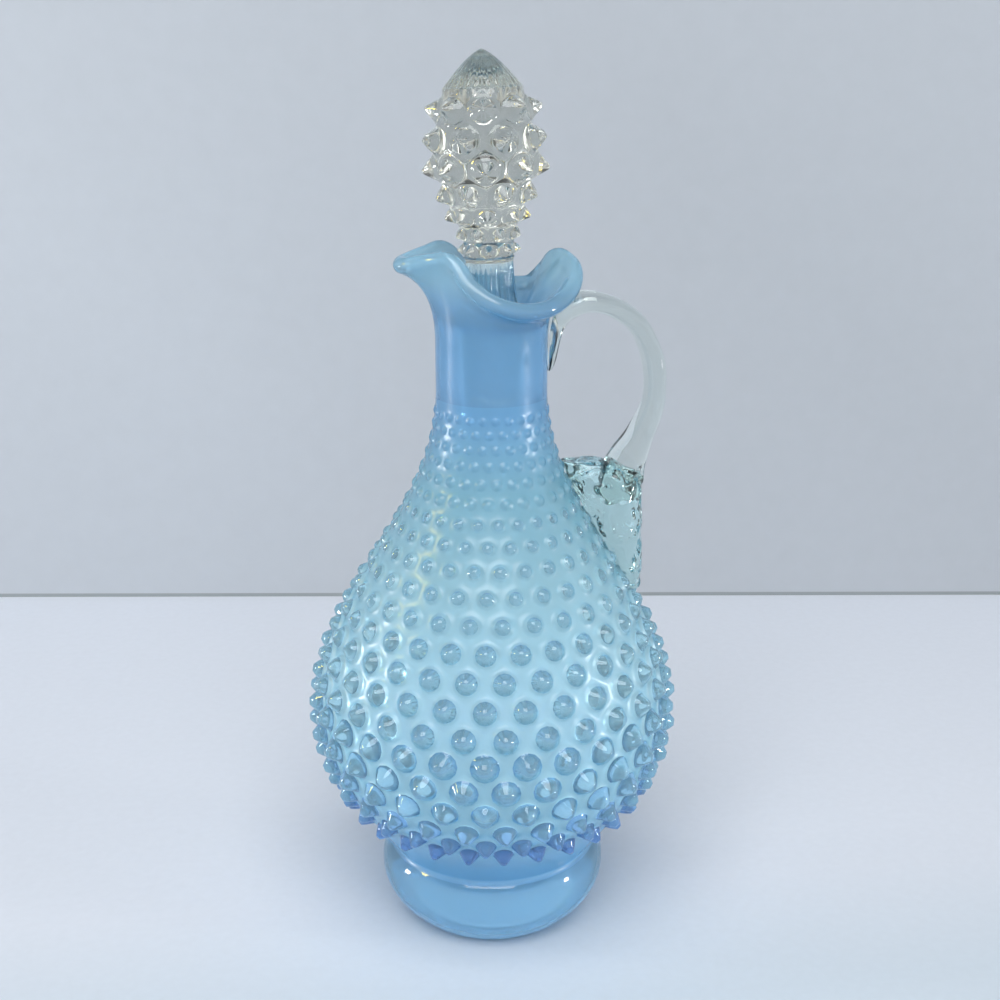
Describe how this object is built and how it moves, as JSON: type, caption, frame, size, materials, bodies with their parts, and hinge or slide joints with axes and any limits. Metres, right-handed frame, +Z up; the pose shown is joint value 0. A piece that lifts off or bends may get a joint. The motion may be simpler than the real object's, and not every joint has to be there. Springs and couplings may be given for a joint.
{
  "type": "decanter",
  "caption": "Hobnail glass decanter with a round belly on a cushion foot, slim neck, crimped pouring lip, clear loop handle and a lift-out hobnail stopper.",
  "frame": {"origin": "centre of the foot's contact ring, on the plane that the decanter stands on", "axes": "+Z up along the vessel's axis, +X toward the handle, spout toward -X"},
  "size_m": [0.1404, 0.1404, 0.3245],
  "materials": {
    "opal_blue_glass": "milky translucent sky-blue opalescent glass, glossy, paler and clearer over the belly",
    "clear_glass": "colourless glossy glass with a faint green tint where it is thick"
  },
  "bodies": {
    "decanter": {"vessel": "opal_blue_glass", "handle": "clear_glass"},
    "stopper": {"stopper": "clear_glass"}
  },
  "joints": [
    {"name": "stopper_lift", "type": "slide", "parent": "decanter", "child": "stopper", "axis": [0, 0, 1], "range_m": [0, 0.075]}
  ]
}
